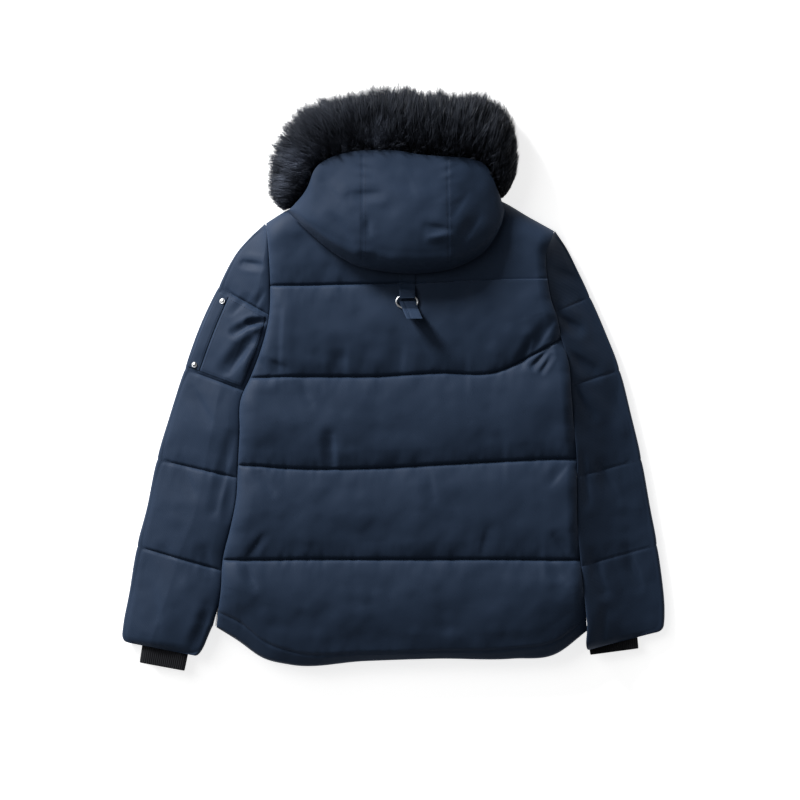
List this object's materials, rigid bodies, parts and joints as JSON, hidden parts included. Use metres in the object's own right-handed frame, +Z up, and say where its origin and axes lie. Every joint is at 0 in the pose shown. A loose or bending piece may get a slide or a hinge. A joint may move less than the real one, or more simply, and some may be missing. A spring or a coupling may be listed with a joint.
{
  "type": "fur trimmed parka",
  "caption": "Quilted down parka lying face down and flat, hood folded back over the yoke with a roll of black fur, rib cuffs, a ring on its hanger loop and a sleeve pocket.",
  "frame": {"origin": "on the surface the coat lies on, under the middle of its outline", "axes": "+Z up from the surface, +Y from the hem towards the hood, +X from the coat's left sleeve towards its right sleeve"},
  "size_m": [0.8987, 0.9639, 0.1178],
  "materials": {
    "shell_cloth": "matte navy twill over down, with a faint sheen",
    "ruff_fur": "deep black fur, soft and clumped",
    "rib_knit": "matte black rib knit",
    "bright_metal": "bright nickel"
  },
  "bodies": {
    "root": {"back_panel": "shell_cloth", "front_left": "shell_cloth", "front_right": "shell_cloth", "sleeve_left": "shell_cloth", "sleeve_right": "shell_cloth", "sleeve_pocket": "shell_cloth", "pocket_placket": "shell_cloth", "hood_left": "shell_cloth", "hood_center": "shell_cloth", "hood_right": "shell_cloth", "collar": "shell_cloth", "hanger_strap": "shell_cloth", "hanger_tab": "shell_cloth", "fur_ruff": "ruff_fur", "cuff_left": "rib_knit", "cuff_right": "rib_knit", "front_zip": "bright_metal", "front_zip_slider": "bright_metal", "hanger_ring": "bright_metal", "pocket_snap_upper": "bright_metal", "pocket_snap_lower": "bright_metal", "side_zip_left": "bright_metal", "side_zip_right": "bright_metal", "side_zip_slider_left": "bright_metal", "side_zip_slider_right": "bright_metal"}
  },
  "joints": []
}
